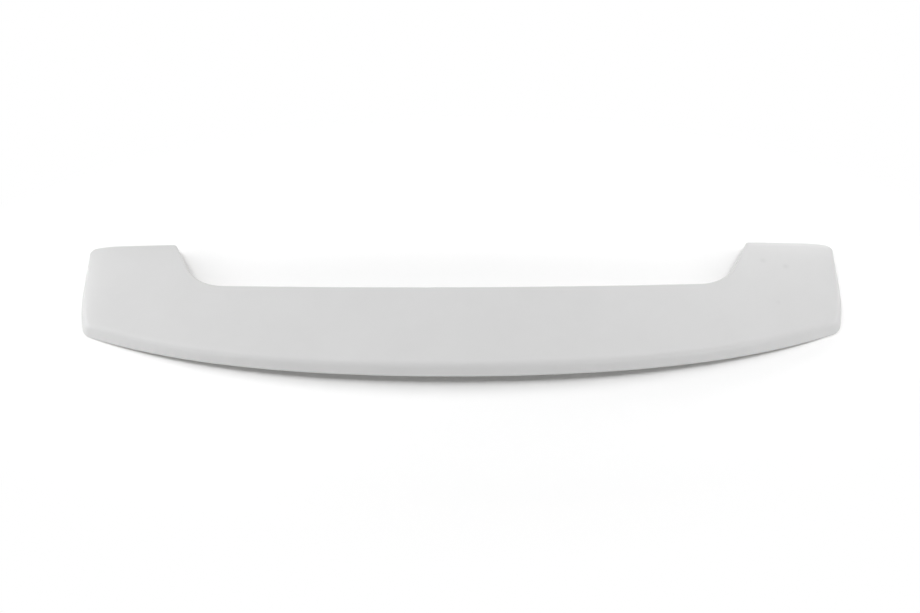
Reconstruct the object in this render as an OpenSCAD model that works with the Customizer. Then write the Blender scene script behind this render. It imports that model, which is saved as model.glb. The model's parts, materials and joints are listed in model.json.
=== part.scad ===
// Rear roof spoiler: one open-backed moulding with two ears that reach forward
// either side of a wide shallow notch. It lies on its underside.
// X runs across the car, +Y towards the front of the car, +Z up.
// The origin is the middle of the footprint, on the surface it lies on.

/* [Overall] */
// Width across both ears
overall_w = 1214; // [1100:1:1300]
// Depth from the ear fronts to the trailing edge
overall_d = 272.5; // [255:0.5:320]
// Rise of the top from its sides to mid-span, in line with the ear fronts
front_crown = 12; // [6:1:20]
// Rise of the trailing edge from its ends to mid-span
rear_crown = 14; // [6:0.5:20]

/* [Ears and notch] */
// Width of an ear at its front edge
ear_w = 142; // [120:1:170]
// How far the ears reach in front of the notch line
ear_reach = 95; // [85:0.5:105]
// How much further back the notch line lies at mid-span
notch_bow = 10.5; // [2:0.5:14]
// Angle of the notch flanks to the notch line, in degrees
flank_angle = 65; // [58:0.5:75]
// Radius where a flank runs into the notch line
notch_r = 68; // [60:1:100]
// Radius of the ears' inner front corners
tip_r = 7; // [6.5:0.5:12]
// Radius of the ears' outer front corners
front_corner_r = 12; // [9:0.5:20]

/* [Trailing edge] */
// Forward sweep of the trailing edge that grows evenly towards the ends
sweep = 66.5; // [50:0.5:80]
// Further sweep that is gathered near the ends
end_curl = 34; // [20:0.5:45]
// Radius of the rear corners in plan
rear_corner_r = 25; // [22:1:40]
// How much each side tucks in towards the rear corner
side_tuck = 12; // [2:0.5:14]
// How sharply that tuck is gathered near the corner
tuck_gather = 4; // [2:0.1:5]

/* [Edges] */
// Height of the turned-down rear face at mid-span, with its rounding
face_h = 25; // [22:0.5:34]
// How much lower the rear face is at its ends
face_drop = 7.5; // [3:0.5:9]
// Radius of the ridge between the top and the rear face
ridge_r = 10; // [8:0.5:12]
// Lean of the rear face at mid-span, in degrees from upright
face_lean = 6; // [3:1:16]
// Lean of its ends and of the sides, in degrees from upright
end_lean = 30; // [18:1:32]
// Height of the thin front edge
lip_h = 8; // [7:0.5:12]
// Radius along the top of the front edge
lip_r = 3.5; // [2.5:0.25:4.5]
// Lean of the front edge, in degrees from upright
lip_lean = 6; // [2:1:12]
// Small break along the bottom edge
edge_break = 0.8; // [0.4:0.1:1.2]

/* [Top surface] */
// Fullness of the top between its front and rear edges
fullness = 7; // [3:0.5:9]
// How sharply the top rolls down to the ear fronts
front_gather = 11; // [5:1:14]
// Width of the band where the top rolls over to the sides
side_roll_w = 56; // [40:1:90]
// Drop of the top across that band, beside the ear fronts
front_roll = 8; // [3:0.5:12]
// Drop of the top across that band, at the rear corners
rear_roll = 13; // [6:0.5:16]

/* [Skin] */
// Thickness of the skin
wall = 3.5; // [2.5:0.25:4.25]
// Width of the turned-in flange under the rear face and the sides
flange_w = 16; // [12:0.5:20]
// Thickness of the flange
flange_t = 3.5; // [2.5:0.25:4.5]
// Width of the land under the front edge
land_w = 4.5; // [3.5:0.25:4.5]

/* [Fixings] */
// Distance between the two inner screw bosses
inner_pitch = 300; // [200:1:420]
// How far the inner bosses lie behind the notch line
inner_setback = 66; // [50:1:85]
// How far the outer bosses lie behind the ear fronts
outer_setback = 92; // [70:1:110]
// Diameter of a boss
boss_d = 18; // [14:0.5:24]
// Diameter of the pilot bore in a boss
pilot_d = 5; // [4:0.1:6.5]
// Depth of the pilot bore
pilot_depth = 12; // [8:0.5:13]

/* [Hidden] */
half_w = overall_w / 2;
front_y = overall_d / 2;
rear_y = -overall_d / 2;

// Steps along each stretch of one half of the front edge, and of one side
line_steps = 12;
arc_steps = 9;
flank_steps = 3;
tip_steps = 4;
ear_steps = 8;
corner_steps = 3;
side_steps = 6;
rear_corner_steps = 4;
ridge_steps = 4;
half_steps = line_steps + arc_steps + flank_steps + tip_steps + ear_steps + corner_steps;
across = 2 * half_steps;
along = corner_steps + side_steps + rear_corner_steps;
around = 2 * (across + along);

// Stand-off between a lip's land and the steps up to the inner skin
land_step = 0.6;
// Distance over which the slope of the top is measured
slope_run = 4;

function mix(a, b, t) = a + (b - a) * t;
function ease(t) = t * t * (3 - 2 * t);
function clamp01(t) = max(0, min(1, t));
function unit(v) = v / norm(v);
function arc(centre, r, a0, a1, steps, from = 1) =
    [for (k = [from:steps]) centre + r * [cos(mix(a0, a1, k / steps)), sin(mix(a0, a1, k / steps))]];
function flip(points) = [for (k = [len(points) - 1:-1:0]) [-points[k][0], points[k][1]]];

// Front edge, from mid-span to the middle of the outer corner
tip_x = half_w - ear_w;
root_y = front_y - ear_reach;
root_x = tip_x - ear_reach / tan(flank_angle);
line_angle = atan(2 * notch_bow / (root_x - notch_r * tan(flank_angle / 2)));
turn_in = notch_r * tan((flank_angle - line_angle) / 2);
line_x = root_x - turn_in * cos(line_angle);
line_y = root_y - turn_in * sin(line_angle);
notch_centre = [line_x, line_y] + notch_r * [-sin(line_angle), cos(line_angle)];
tip_centre = [tip_x + tip_r * tan(flank_angle / 2), front_y - tip_r];
corner_centre = [half_w - front_corner_r, front_y - front_corner_r];
notch_line = [for (k = [0:line_steps])
    let (x = line_x * k / line_steps)
    [x, line_y - notch_bow * (1 - pow(x / line_x, 2))]];
notch_arc = arc(notch_centre, notch_r, line_angle - 90, flank_angle - 90, arc_steps);
tip_arc = arc(tip_centre, tip_r, flank_angle + 90, 90, tip_steps, 0);
flank_foot = notch_arc[arc_steps - 1];
flank = [for (k = [1:flank_steps - 1]) mix(flank_foot, tip_arc[0], k / flank_steps)];
ear_front = [for (k = [1:ear_steps]) mix(tip_arc[tip_steps], [corner_centre[0], front_y], k / ear_steps)];
front_half = concat(
    notch_line,
    notch_arc,
    flank,
    tip_arc,
    ear_front,
    arc(corner_centre, front_corner_r, 90, 45, corner_steps)
);

// Trailing edge, a shallow curve that tightens towards the rear corners
function rear_edge(x) = rear_y + sweep * pow(x / half_w, 2) + end_curl * pow(x / half_w, 4);
function rear_angle(x) = atan((2 * sweep * x / half_w + 4 * end_curl * pow(x / half_w, 3)) / half_w);
side_x = half_w - side_tuck;
side_run = corner_centre[1] - rear_edge(side_x) - rear_corner_r;
tuck_angle = atan(side_tuck * tuck_gather / side_run);
end_angle = rear_angle(side_x - 0.6 * rear_corner_r);
rear_centre_x = side_x - rear_corner_r * cos(tuck_angle);
end_x = rear_centre_x + rear_corner_r * sin(end_angle);
rear_centre = [rear_centre_x, rear_edge(end_x) + rear_corner_r * cos(end_angle)];
turn_start = end_angle - 90;
turn_mid = (turn_start - tuck_angle) / 2;
straight_steps = half_steps - rear_corner_steps;
rear_half = concat(
    [for (k = [0:straight_steps])
        let (x = end_x * front_half[k][0] / front_half[straight_steps][0])
        [x, rear_edge(x)]],
    arc(rear_centre, rear_corner_r, turn_start, turn_mid, rear_corner_steps)
);

// Right side, from the middle of one corner to the middle of the other
side_top = corner_centre[1];
side_end = rear_centre[1] - rear_corner_r * sin(tuck_angle);
side = concat(
    arc(corner_centre, front_corner_r, 45, 0, corner_steps, 0),
    [for (k = [1:side_steps - 1])
        let (t = k / side_steps)
        [half_w - side_tuck * pow(t, tuck_gather), mix(side_top, side_end, t)]],
    arc(rear_centre, rear_corner_r, -tuck_angle, turn_mid, rear_corner_steps, 0)
);

// The whole outline, clockwise from the left front corner
left_front = flip(front_half);
outline = concat(
    left_front,
    [for (k = [1:half_steps]) front_half[k]],
    [for (j = [1:along]) side[j]],
    [for (k = [half_steps - 1:-1:0]) rear_half[k]],
    [for (k = [1:half_steps]) [-rear_half[k][0], rear_half[k][1]]],
    [for (j = [along - 1:-1:1]) [-side[j][0], side[j][1]]]
);
function outward(p) =
    let (
        here = outline[p],
        before = unit(here - outline[(p + around - 1) % around]),
        after = unit(outline[(p + 1) % around] - here),
        t = unit(before + after)
    )
    [-t[1], t[0]];
normals = [for (p = [0:around - 1]) outward(p)];

// How far a place on the outline is along the side, 0 at the front and 1 at the back
function side_share(y) = clamp01((side[0][1] - y) / (side[0][1] - side[along][1]));
function on_front(p) = p <= across;
function on_rear(p) = p >= across + along && p <= 2 * across + along;

// The top before its edges are rounded: one smooth crowned surface, from which
// the ears and the notch are cut
function crown_at(x, crown, reach) = max(0, crown * (1 - pow(x / reach, 2)));
function rear_foot(x) = crown_at(x, rear_crown, end_x);
function rear_height(x) = face_h - face_drop * pow(x / side_x, 2);
function chord_share(x, y) = clamp01((front_y - y) / (front_y - rear_edge(x)));
function side_roll(x, t) = mix(front_roll, rear_roll, t) * pow(clamp01(1 - (half_w - abs(x)) / side_roll_w), 3);
function relief(x, y) =
    let (t = chord_share(x, y))
    mix(crown_at(x, front_crown, half_w), rear_foot(x) + rear_height(x), t)
        + fullness * (1 - pow(1 - t, front_gather)) * (1 - t) - side_roll(x, t);
corner_in = corner_centre + (front_corner_r - lip_r) * [cos(45), sin(45)];
// Lift of the ear fronts that sets their outer corners down on the floor
front_lift = (lip_h - relief(corner_in[0], corner_in[1])) / (1 - chord_share(corner_in[0], corner_in[1]));
function top_height(x, y) = relief(x, y) + front_lift * (1 - chord_share(x, y));
function top_at(place) = top_height(place[0], place[1]);

// Section of the edge at each place: height, ridge radius, lean, starting slope,
// flange width, how much of a full skirt it is, and height of its bottom edge.
// A foot of undef hangs the bottom edge a lip's height below the top.
function section(p, r, lean, flange, skirt, foot) =
    let (
        inside = outline[p] - r * (cos(lean) + sin(lean)) * normals[p],
        top = top_at(inside),
        slope = atan((top_at(inside - slope_run * normals[p]) - top) / slope_run)
    )
    foot == undef
        ? [lip_h, r, lean, slope, flange, skirt, top - lip_h]
        : [top - foot, r, lean, slope, flange, skirt, foot];
function front_section(p) = section(p, lip_r, lip_lean, land_w, 0, undef);
function rear_section(p) =
    let (x = outline[p][0])
    section(p, ridge_r, mix(face_lean, end_lean, pow(x / side_x, 2)), flange_w, 1, rear_foot(x));
function side_section(p, t, front, back) =
    let (
        rise = ease(clamp01(t * 1.1 - 0.05)),
        lean = mix(lip_lean, back[2], ease(clamp01(t * 2.5)))
    )
    section(p, mix(lip_r, ridge_r, rise), lean, mix(land_w, flange_w, rise), rise, mix(front[6], back[6], t));
front_end = front_section(across);
rear_end = rear_section(across + along);
sections = [for (p = [0:around - 1])
    on_front(p) ? front_section(p) :
    on_rear(p) ? rear_section(p) :
    side_section(p, side_share(outline[p][1]), front_end, rear_end)];

// Centre of the ridge rounding, as [inset, height] from the bottom edge
function ridge_centre(s) =
    let (z = s[0] - s[1] * cos(s[3]))
    [s[1] * cos(s[2]) + (z + s[1] * sin(s[2])) * tan(s[2]), z];
function ridge_point(s, r, k) =
    let (a = mix(s[3], 90 - s[2], k / ridge_steps))
    ridge_centre(s) + r * [-sin(a), cos(a)];
function face_inset(s, z) = z * tan(s[2]);
inner_ridge_r = max(0.5, ridge_r - wall);

// Rings round the part, from the edge of the top, down the outside, along the
// flange and up the inside to the edge of the inner skin
function ring_section(s) = let (c = ridge_centre(s)) concat(
    [for (k = [0:ridge_steps]) ridge_point(s, s[1], k)],
    [
        [face_inset(s, edge_break), edge_break],
        [edge_break, 0],
        [s[4], 0],
        [s[4] + land_step * (1 - s[5]) / 2, mix((s[0] - wall) / 4, flange_t, s[5])],
        [mix(s[4] + land_step, face_inset(s, flange_t + 1) + wall / cos(s[2]), s[5]),
         mix((s[0] - wall) / 2, flange_t + 1, s[5])],
        [mix(s[4] + 2 * land_step, c[0] - inner_ridge_r * cos(s[2]), s[5]),
         mix((s[0] - wall) * 0.75, c[1] + inner_ridge_r * sin(s[2]), s[5])],
        [mix(s[4] + 3 * land_step, c[0] + 1, s[5]), s[0] - wall]
    ]
);
ring_sections = [for (p = [0:around - 1]) ring_section(sections[p])];
rings = len(ring_sections[0]);
function ring_point(p, k) =
    let (
        at = ring_sections[p][k],
        flat = outline[p] - at[0] * normals[p]
    )
    [flat[0], flat[1], sections[p][6] + at[1]];

// Places on the border of the top, and of the inner skin, by column and row
function border(i, j) =
    (j == 0 ? i :
     i == across ? across + j :
     j == along ? 2 * across + along - i :
     around - j) % around;
top_edge = [for (p = [0:around - 1]) ring_point(p, 0)];
inner_edge = [for (p = [0:around - 1]) ring_point(p, rings - 1)];
row_share = [for (j = [0:along]) side_share(side[j][1])];

// A point of the skin: its place is blended from the borders, and its height
// follows the smooth top, corrected to meet them
function side_blend(edge, i) =
    pow(clamp01(1 - (half_w - abs(edge[i][0])) / side_roll_w), 2);
function off_top(point) = [point[0], point[1], point[2] - top_at(point)];
function skin_point(edge, i, j) =
    let (
        t = row_share[j],
        outer = i < half_steps ? 0 : across,
        straight = mix(edge[i], edge[border(i, along)], t),
        corner_line = mix(edge[border(outer, 0)], edge[border(outer, along)], t),
        near_side = i == outer ? 1 : side_blend(edge, i),
        flat = straight + near_side * (edge[border(outer, j)] - corner_line)
    )
    flat + [0, 0, top_at(flat)];
function inside_points(edge) =
    let (low = [for (point = edge) off_top(point)])
    [for (j = [1:along - 1]) for (i = [1:across - 1]) skin_point(low, i, j)];

ring_base = 0;
top_base = rings * around;
inner_base = top_base + (across - 1) * (along - 1);
shell_points = concat(
    [for (k = [0:rings - 1]) for (p = [0:around - 1]) ring_point(p, k)],
    inside_points(top_edge),
    inside_points(inner_edge)
);
function at_border(i, j) = i == 0 || i == across || j == 0 || j == along;
function skin_index(ring, base, i, j) =
    at_border(i, j) ? ring * around + border(i, j) : base + (j - 1) * (across - 1) + i - 1;

// Two triangles for four corners, cut so that both halves of the part mirror
function quad(a, b, c, d, left) = left ? [[a, b, c], [a, c, d]] : [[a, b, d], [b, c, d]];
function skin_faces(ring, base) =
    [for (j = [0:along - 1]) for (i = [0:across - 1])
        for (face = quad(
            skin_index(ring, base, i, j),
            skin_index(ring, base, i + 1, j),
            skin_index(ring, base, i + 1, j + 1),
            skin_index(ring, base, i, j + 1),
            i < half_steps
        )) face];
function turned(faces) = [for (f = faces) [f[2], f[1], f[0]]];
function right_half(p) = p >= half_steps && p < half_steps + across + along;
ring_faces = [for (k = [0:rings - 2]) for (p = [0:around - 1])
    let (q = (p + 1) % around)
    for (face = quad(
        k * around + p,
        (k + 1) * around + p,
        (k + 1) * around + q,
        k * around + q,
        right_half(p)
    )) face];

// Height of the surface that the underside seats on
function seat_height(at) =
    let (
        front_at = abs(at[0]) < tip_x ? root_y : front_y,
        t = clamp01((front_at - at[1]) / (front_at - rear_edge(at[0])))
    )
    mix(top_height(at[0], front_at) - lip_h, rear_foot(at[0]), t);

inner_boss = [inner_pitch / 2, notch_line[0][1] - inner_setback];
outer_boss = [half_w - ear_w / 2, front_y - outer_setback];
boss_embed = wall / 2;

module shell() {
    polyhedron(
        points = shell_points,
        faces = concat(
            skin_faces(0, top_base),
            ring_faces,
            turned(skin_faces(rings - 1, inner_base))
        )
    );
}

module boss(at) {
    foot = seat_height(at);
    head = top_at(at) - boss_embed;
    translate([at[0], at[1], foot]) cylinder(d = boss_d, h = head - foot, $fn = 48);
}

module pilot(at) {
    foot = seat_height(at);
    translate([at[0], at[1], foot - 1]) cylinder(d = pilot_d, h = pilot_depth + 1, $fn = 32);
}

module at_both_sides() {
    children();
    mirror([1, 0, 0]) children();
}

module spoiler() {
    color("gainsboro") difference() {
        union() {
            shell();
            at_both_sides() {
                boss(inner_boss);
                boss(outer_boss);
            }
        }
        at_both_sides() {
            pilot(inner_boss);
            pilot(outer_boss);
        }
    }
}

spoiler();
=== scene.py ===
# Rear roof spoiler, an unpainted one-piece moulding, lying on a white studio floor
import json
import math

import bmesh
import bpy
from mathutils import Matrix, Vector

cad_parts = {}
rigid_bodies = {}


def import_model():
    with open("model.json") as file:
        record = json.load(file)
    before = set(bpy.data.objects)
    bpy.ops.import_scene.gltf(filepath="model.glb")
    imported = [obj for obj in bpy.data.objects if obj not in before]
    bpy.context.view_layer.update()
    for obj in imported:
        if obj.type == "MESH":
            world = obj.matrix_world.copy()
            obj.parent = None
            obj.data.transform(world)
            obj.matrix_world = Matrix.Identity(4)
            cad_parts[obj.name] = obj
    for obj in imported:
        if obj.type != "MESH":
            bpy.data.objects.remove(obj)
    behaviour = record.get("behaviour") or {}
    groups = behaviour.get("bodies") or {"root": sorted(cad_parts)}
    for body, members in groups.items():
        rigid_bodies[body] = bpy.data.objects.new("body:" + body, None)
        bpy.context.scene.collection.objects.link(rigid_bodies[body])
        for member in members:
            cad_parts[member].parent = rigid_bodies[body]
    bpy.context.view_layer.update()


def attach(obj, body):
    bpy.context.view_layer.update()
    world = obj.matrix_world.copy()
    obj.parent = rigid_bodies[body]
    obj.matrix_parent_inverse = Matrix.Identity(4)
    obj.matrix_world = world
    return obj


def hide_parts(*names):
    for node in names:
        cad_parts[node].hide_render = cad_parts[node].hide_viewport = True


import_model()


def linearColour(hexCode):
    # sRGB hex to the linear values that Blender's sockets take
    channels = [int(hexCode[i:i + 2], 16) / 255 for i in (1, 3, 5)]
    linear = [c / 12.92 if c <= 0.04045 else ((c + 0.055) / 1.055) ** 2.4 for c in channels]
    return (*linear, 1.0)


def addNode(tree, kind, settings=None, values=None, links=None):
    # settings are the node's own properties, values its input sockets, and links say
    # which output feeds which input. A Mix node of colours has them at inputs 6 and 7
    # and its result at output 2.
    node = tree.nodes.new(kind)
    for name, value in (settings or {}).items():
        setattr(node, name, value)
    for name, value in (values or {}).items():
        node.inputs[name].default_value = value
    for name, output in (links or {}).items():
        tree.links.new(output, node.inputs[name])
    return node


def newMaterial(name):
    material = bpy.data.materials.new(name)
    material.use_nodes = True
    tree = material.node_tree
    tree.nodes.clear()
    return material, tree


# lengths are in metres all through this file
gelCoat = {
    "colour": "#CCCCCC",
    "darker": "#C7C7C7",
    "roughness": 0.5,
    "refraction": 1.5,  # cured polyester
    "cloudSize": 0.06,  # the size of the faint clouds in the colour
    "cloudDetail": 3.0,
    "cloudRoughness": 0.55,
    "peelSize": 0.0025,  # orange peel left by spraying the mould
    "peelDetail": 2.0,
    "peelDepth": 0.00003,
    "peelStrength": 0.3,
    "dust": "#AAAAAA",
    # faint dusty specks on the right end: x, y, radius, strength
    "specks": [
        (0.486, 0.090, 0.008, 0.20),
        (0.521, 0.078, 0.008, 0.22),
        (0.499, 0.001, 0.006, 0.12),
    ],
}

laminate = {
    "colour": "#B9B9B4",
    "roughness": 0.75,
    "refraction": 1.5,
    "strandLength": 0.012,  # chopped strands of the glass mat
    "strandDepth": 0.0002,
    "strandStrength": 0.6,
    "facesBelow": -0.1,  # faces whose normal's Z is under this show the laminate
}


def addSpeck(tree, where, colour, speck):
    # one soft dusty spot over the colour, the same at any height
    x, y, radius, strength = speck
    flat = addNode(
        tree, "ShaderNodeVectorMath",
        settings={"operation": "MULTIPLY"}, values={1: (1, 1, 0)}, links={0: where},
    )
    distance = addNode(
        tree, "ShaderNodeVectorMath",
        settings={"operation": "DISTANCE"}, values={1: (x, y, 0)}, links={0: flat.outputs[0]},
    )
    spot = addNode(
        tree, "ShaderNodeMapRange",
        settings={"interpolation_type": "SMOOTHSTEP"},
        values={
            "From Min": 0.0, "From Max": radius,
            "To Min": strength, "To Max": 0.0,
        },
        links={"Value": distance.outputs["Value"]},
    )
    return addNode(
        tree, "ShaderNodeMix",
        settings={"data_type": "RGBA"},
        values={7: linearColour(gelCoat["dust"])},
        links={0: spot.outputs["Result"], 6: colour},
    ).outputs[2]


def makeGelCoat():
    # Gel coat: pigmented polyester sprayed into the mould and left unpainted.
    # To the eye it is an even, matte light grey with very faint clouds. Faces that
    # look down show the glass-fibre laminate that was laid up behind it.
    material, tree = newMaterial("polyesterGelCoat")
    where = addNode(tree, "ShaderNodeTexCoord").outputs["Object"]
    clouds = addNode(
        tree, "ShaderNodeTexNoise",
        values={
            "Scale": 1 / gelCoat["cloudSize"],
            "Detail": gelCoat["cloudDetail"],
            "Roughness": gelCoat["cloudRoughness"],
        },
        links={"Vector": where},
    )
    tint = addNode(
        tree, "ShaderNodeMix",
        settings={"data_type": "RGBA"},
        values={6: linearColour(gelCoat["colour"]), 7: linearColour(gelCoat["darker"])},
        links={0: clouds.outputs["Fac"]},
    )
    peel = addNode(
        tree, "ShaderNodeTexNoise",
        values={"Scale": 1 / gelCoat["peelSize"], "Detail": gelCoat["peelDetail"]},
        links={"Vector": where},
    )
    bump = addNode(
        tree, "ShaderNodeBump",
        values={"Strength": gelCoat["peelStrength"], "Distance": gelCoat["peelDepth"]},
        links={"Height": peel.outputs["Fac"]},
    )
    colour = tint.outputs[2]
    for speck in gelCoat["specks"]:
        colour = addSpeck(tree, where, colour, speck)
    outside = addNode(
        tree, "ShaderNodeBsdfPrincipled",
        values={"Roughness": gelCoat["roughness"], "IOR": gelCoat["refraction"]},
        links={"Base Color": colour, "Normal": bump.outputs["Normal"]},
    )

    strands = addNode(
        tree, "ShaderNodeTexVoronoi",
        settings={"feature": "DISTANCE_TO_EDGE"},
        values={"Scale": 1 / laminate["strandLength"]},
        links={"Vector": where},
    )
    weave = addNode(
        tree, "ShaderNodeBump",
        values={
            "Strength": laminate["strandStrength"],
            "Distance": laminate["strandDepth"],
        },
        links={"Height": strands.outputs["Distance"]},
    )
    inside = addNode(
        tree, "ShaderNodeBsdfPrincipled",
        values={
            "Base Color": linearColour(laminate["colour"]),
            "Roughness": laminate["roughness"],
            "IOR": laminate["refraction"],
        },
        links={"Normal": weave.outputs["Normal"]},
    )
    facing = addNode(tree, "ShaderNodeNewGeometry").outputs["True Normal"]
    height = addNode(tree, "ShaderNodeSeparateXYZ", links={0: facing}).outputs["Z"]
    looksDown = addNode(
        tree, "ShaderNodeMath",
        settings={"operation": "LESS_THAN"},
        values={1: laminate["facesBelow"]},
        links={0: height},
    )
    skin = addNode(
        tree, "ShaderNodeMixShader",
        links={
            0: looksDown.outputs[0],
            1: outside.outputs["BSDF"],
            2: inside.outputs["BSDF"],
        },
    )
    addNode(tree, "ShaderNodeOutputMaterial", links={"Surface": skin.outputs[0]})
    return material


def seenRays(tree):
    # 1 for the rays that show the backdrop: camera, glossy and transmission rays
    rays = addNode(tree, "ShaderNodeLightPath").outputs
    mirrored = addNode(
        tree, "ShaderNodeMath",
        settings={"operation": "MAXIMUM"},
        links={0: rays["Is Camera Ray"], 1: rays["Is Glossy Ray"]},
    )
    return addNode(
        tree, "ShaderNodeMath",
        settings={"operation": "MAXIMUM"},
        links={0: mirrored.outputs[0], 1: rays["Is Transmission Ray"]},
    ).outputs[0]


moulding = {
    "node": "spoiler",
    "mergeWithin": 0.00002,
    # triangles that meet within these degrees, and whose corners are this near to square,
    # pair up into quads
    "flatWithin": 20.0,
    "squareWithin": 60.0,
    "sharpAbove": 34.0,  # degrees; the edges that stay crisp
    "levels": 2,
}


def makeMoulding():
    # the CAD skin, merged and smoothed; its crisp edges are creased
    node = next(o for o in bpy.data.objects if o.name == moulding["node"])
    mesh = bpy.data.meshes.new("mouldedSpoiler")
    bm = bmesh.new()
    bm.from_mesh(node.data)
    bm.transform(node.matrix_world)
    bmesh.ops.remove_doubles(bm, verts=bm.verts, dist=moulding["mergeWithin"])
    bmesh.ops.join_triangles(
        bm, faces=bm.faces,
        angle_face_threshold=math.radians(moulding["flatWithin"]),
        angle_shape_threshold=math.radians(moulding["squareWithin"]),
    )
    crease = bm.edges.layers.float.new("crease_edge")
    for edge in bm.edges:
        if edge.calc_face_angle(0.0) > math.radians(moulding["sharpAbove"]):
            edge[crease] = 1.0
            edge.smooth = False
    for face in bm.faces:
        face.smooth = True
    bm.to_mesh(mesh)
    bm.free()
    piece = bpy.data.objects.new("mouldedSpoiler", mesh)
    bpy.context.collection.objects.link(piece)
    mesh.materials.append(makeGelCoat())
    subdivision = piece.modifiers.new("smoothSkin", "SUBSURF")
    subdivision.levels = subdivision.render_levels = moulding["levels"]
    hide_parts(moulding["node"])
    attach(piece, "root")


studio = {
    "floorSize": 16.0,
    "floorColour": "#F4F4F4",
    "floorSeen": "#FFFFFF",  # as it shows to the camera and in gloss, a little whiter
    # the backdrop blows out to white round an ellipse that clears the shadow
    "whiteAspect": 0.5,  # its depth over its width
    "whiteFrom": 0.28,  # metres in front of and behind the middle
    "whiteBeyond": 0.46,
    "roomStrength": 0.01,  # the light of the room on the object
    "whiteStrength": 1.0,  # the plain white that shows all round, where 1 is white
    "lights": [
        # name, place, size, watts; each looks at the middle of the floor
        ("backHigh", (0.0, 1.6, 2.4), (2.4, 1.0), 17.7),
        ("backLeft", (-1.6, 2.4, 1.3), (1.8, 1.0), 5.1),
        ("backRight", (0.75, 0.85, 0.28), (0.5, 0.25), 2.3),
        ("frontLeft", (-1.8, -2.2, 0.6), (1.4, 0.6), 25.6),
        ("frontRight", (1.8, -2.2, 0.6), (1.4, 0.6), 25.0),
        ("leftHigh", (-1.4, 0.2, 2.4), (1.4, 1.2), 25.7),
        ("leftBack", (-2.2, 0.9, 1.0), (1.2, 0.8), 12.2),
        ("leftLow", (-2.6, 0.3, 0.7), (1.2, 0.6), 13.7),
        ("rightHigh", (1.4, 0.2, 2.4), (1.4, 1.2), 22.0),
        ("rightSide", (2.6, 0.3, 1.3), (1.6, 1.2), 12.1),
        ("rightLow", (2.6, 0.3, 0.7), (1.2, 0.6), 6.3),
    ],
}


def makeFloor():
    bm = bmesh.new()
    bmesh.ops.create_grid(bm, x_segments=1, y_segments=1, size=studio["floorSize"] / 2)
    mesh = bpy.data.meshes.new("floor")
    bm.to_mesh(mesh)
    bm.free()
    floor = bpy.data.objects.new("floor", mesh)
    bpy.context.collection.objects.link(floor)
    material, tree = newMaterial("whiteBackdropPaper")
    seen = seenRays(tree)
    paper = addNode(
        tree, "ShaderNodeMix",
        settings={"data_type": "RGBA"},
        values={
            6: linearColour(studio["floorColour"]),
            7: linearColour(studio["floorSeen"]),
        },
        links={0: seen},
    )
    diffuse = addNode(tree, "ShaderNodeBsdfDiffuse", links={"Color": paper.outputs[2]})
    where = addNode(tree, "ShaderNodeTexCoord").outputs["Object"]
    squeezed = addNode(
        tree, "ShaderNodeVectorMath",
        settings={"operation": "MULTIPLY"},
        values={1: (studio["whiteAspect"], 1, 1)},
        links={0: where},
    )
    reach = addNode(
        tree, "ShaderNodeVectorMath",
        settings={"operation": "LENGTH"}, links={0: squeezed.outputs[0]},
    )
    blownOut = addNode(
        tree, "ShaderNodeMapRange",
        settings={"interpolation_type": "SMOOTHSTEP"},
        values={"From Min": studio["whiteFrom"], "From Max": studio["whiteBeyond"]},
        links={"Value": reach.outputs["Value"]},
    )
    share = addNode(
        tree, "ShaderNodeMath",
        settings={"operation": "MULTIPLY"},
        links={0: blownOut.outputs["Result"], 1: seen},
    )
    white = addNode(
        tree, "ShaderNodeEmission",
        values={"Color": linearColour("#FFFFFF"), "Strength": studio["whiteStrength"]},
    )
    sheet = addNode(
        tree, "ShaderNodeMixShader",
        links={0: share.outputs[0], 1: diffuse.outputs["BSDF"], 2: white.outputs[0]},
    )
    addNode(tree, "ShaderNodeOutputMaterial", links={"Surface": sheet.outputs[0]})
    mesh.materials.append(material)


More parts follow.
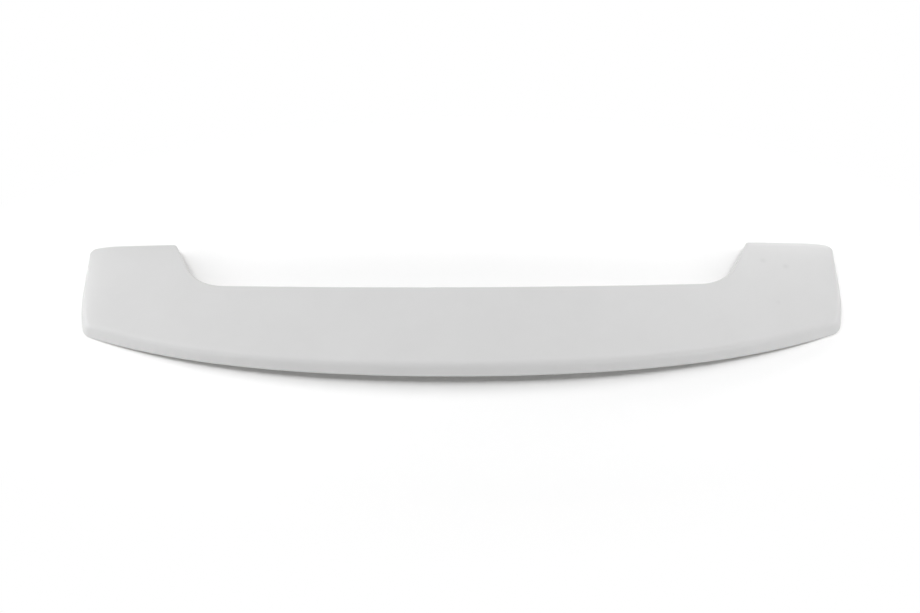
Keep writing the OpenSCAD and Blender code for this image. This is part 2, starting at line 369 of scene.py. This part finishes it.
def makeRoom():
    world = bpy.data.worlds.new("softbox")
    world.use_nodes = True
    tree = world.node_tree
    tree.nodes.clear()
    room = addNode(
        tree, "ShaderNodeBackground",
        values={"Color": linearColour("#FFFFFF"), "Strength": studio["roomStrength"]},
    )
    white = addNode(
        tree, "ShaderNodeBackground",
        values={"Color": linearColour("#FFFFFF"), "Strength": studio["whiteStrength"]},
    )
    pick = addNode(
        tree, "ShaderNodeMixShader",
        links={0: seenRays(tree), 1: room.outputs[0], 2: white.outputs[0]},
    )
    addNode(tree, "ShaderNodeOutputWorld", links={"Surface": pick.outputs[0]})
    bpy.context.scene.world = world


def makeLights():
    for name, place, size, watts in studio["lights"]:
        lamp = bpy.data.lights.new(name, "AREA")
        lamp.shape = "RECTANGLE"
        lamp.size, lamp.size_y = size
        lamp.energy = watts
        holder = bpy.data.objects.new(name, lamp)
        holder.location = place
        holder.rotation_euler = Vector(place).to_track_quat("Z", "Y").to_euler()
        bpy.context.collection.objects.link(holder)


# degrees, and millimetres for the lens and sensor
viewpoint = {
    "azimuth": 0.6,
    "elevation": 50.0,
    "roll": -0.70,
    "distance": 2.411,
    "lens": 60.0,
    "sensor": 36.0,
    "target": (-0.0011, -0.0020, 0.020),
}


def makeCamera():
    camera = bpy.data.cameras.new("camera")
    camera.lens = viewpoint["lens"]
    camera.sensor_width = viewpoint["sensor"]
    holder = bpy.data.objects.new("camera", camera)
    azimuth = math.radians(viewpoint["azimuth"])
    elevation = math.radians(viewpoint["elevation"])
    back = Vector((
        math.sin(azimuth) * math.cos(elevation),
        -math.cos(azimuth) * math.cos(elevation),
        math.sin(elevation),
    ))
    place = Vector(viewpoint["target"]) + back * viewpoint["distance"]
    turn = back.to_track_quat("Z", "Y").to_matrix().to_4x4()
    roll = Matrix.Rotation(math.radians(viewpoint["roll"]), 4, "Z")
    holder.matrix_world = Matrix.Translation(place) @ turn @ roll
    bpy.context.collection.objects.link(holder)
    bpy.context.scene.camera = holder


makeCamera()
print("camera placed")
makeMoulding()
print("moulding made, its material is the gel coat over the laminate")
makeFloor()
makeRoom()
makeLights()
print("studio made, with", len(studio["lights"]), "lights")
bpy.context.scene.view_settings.view_transform = "Standard"
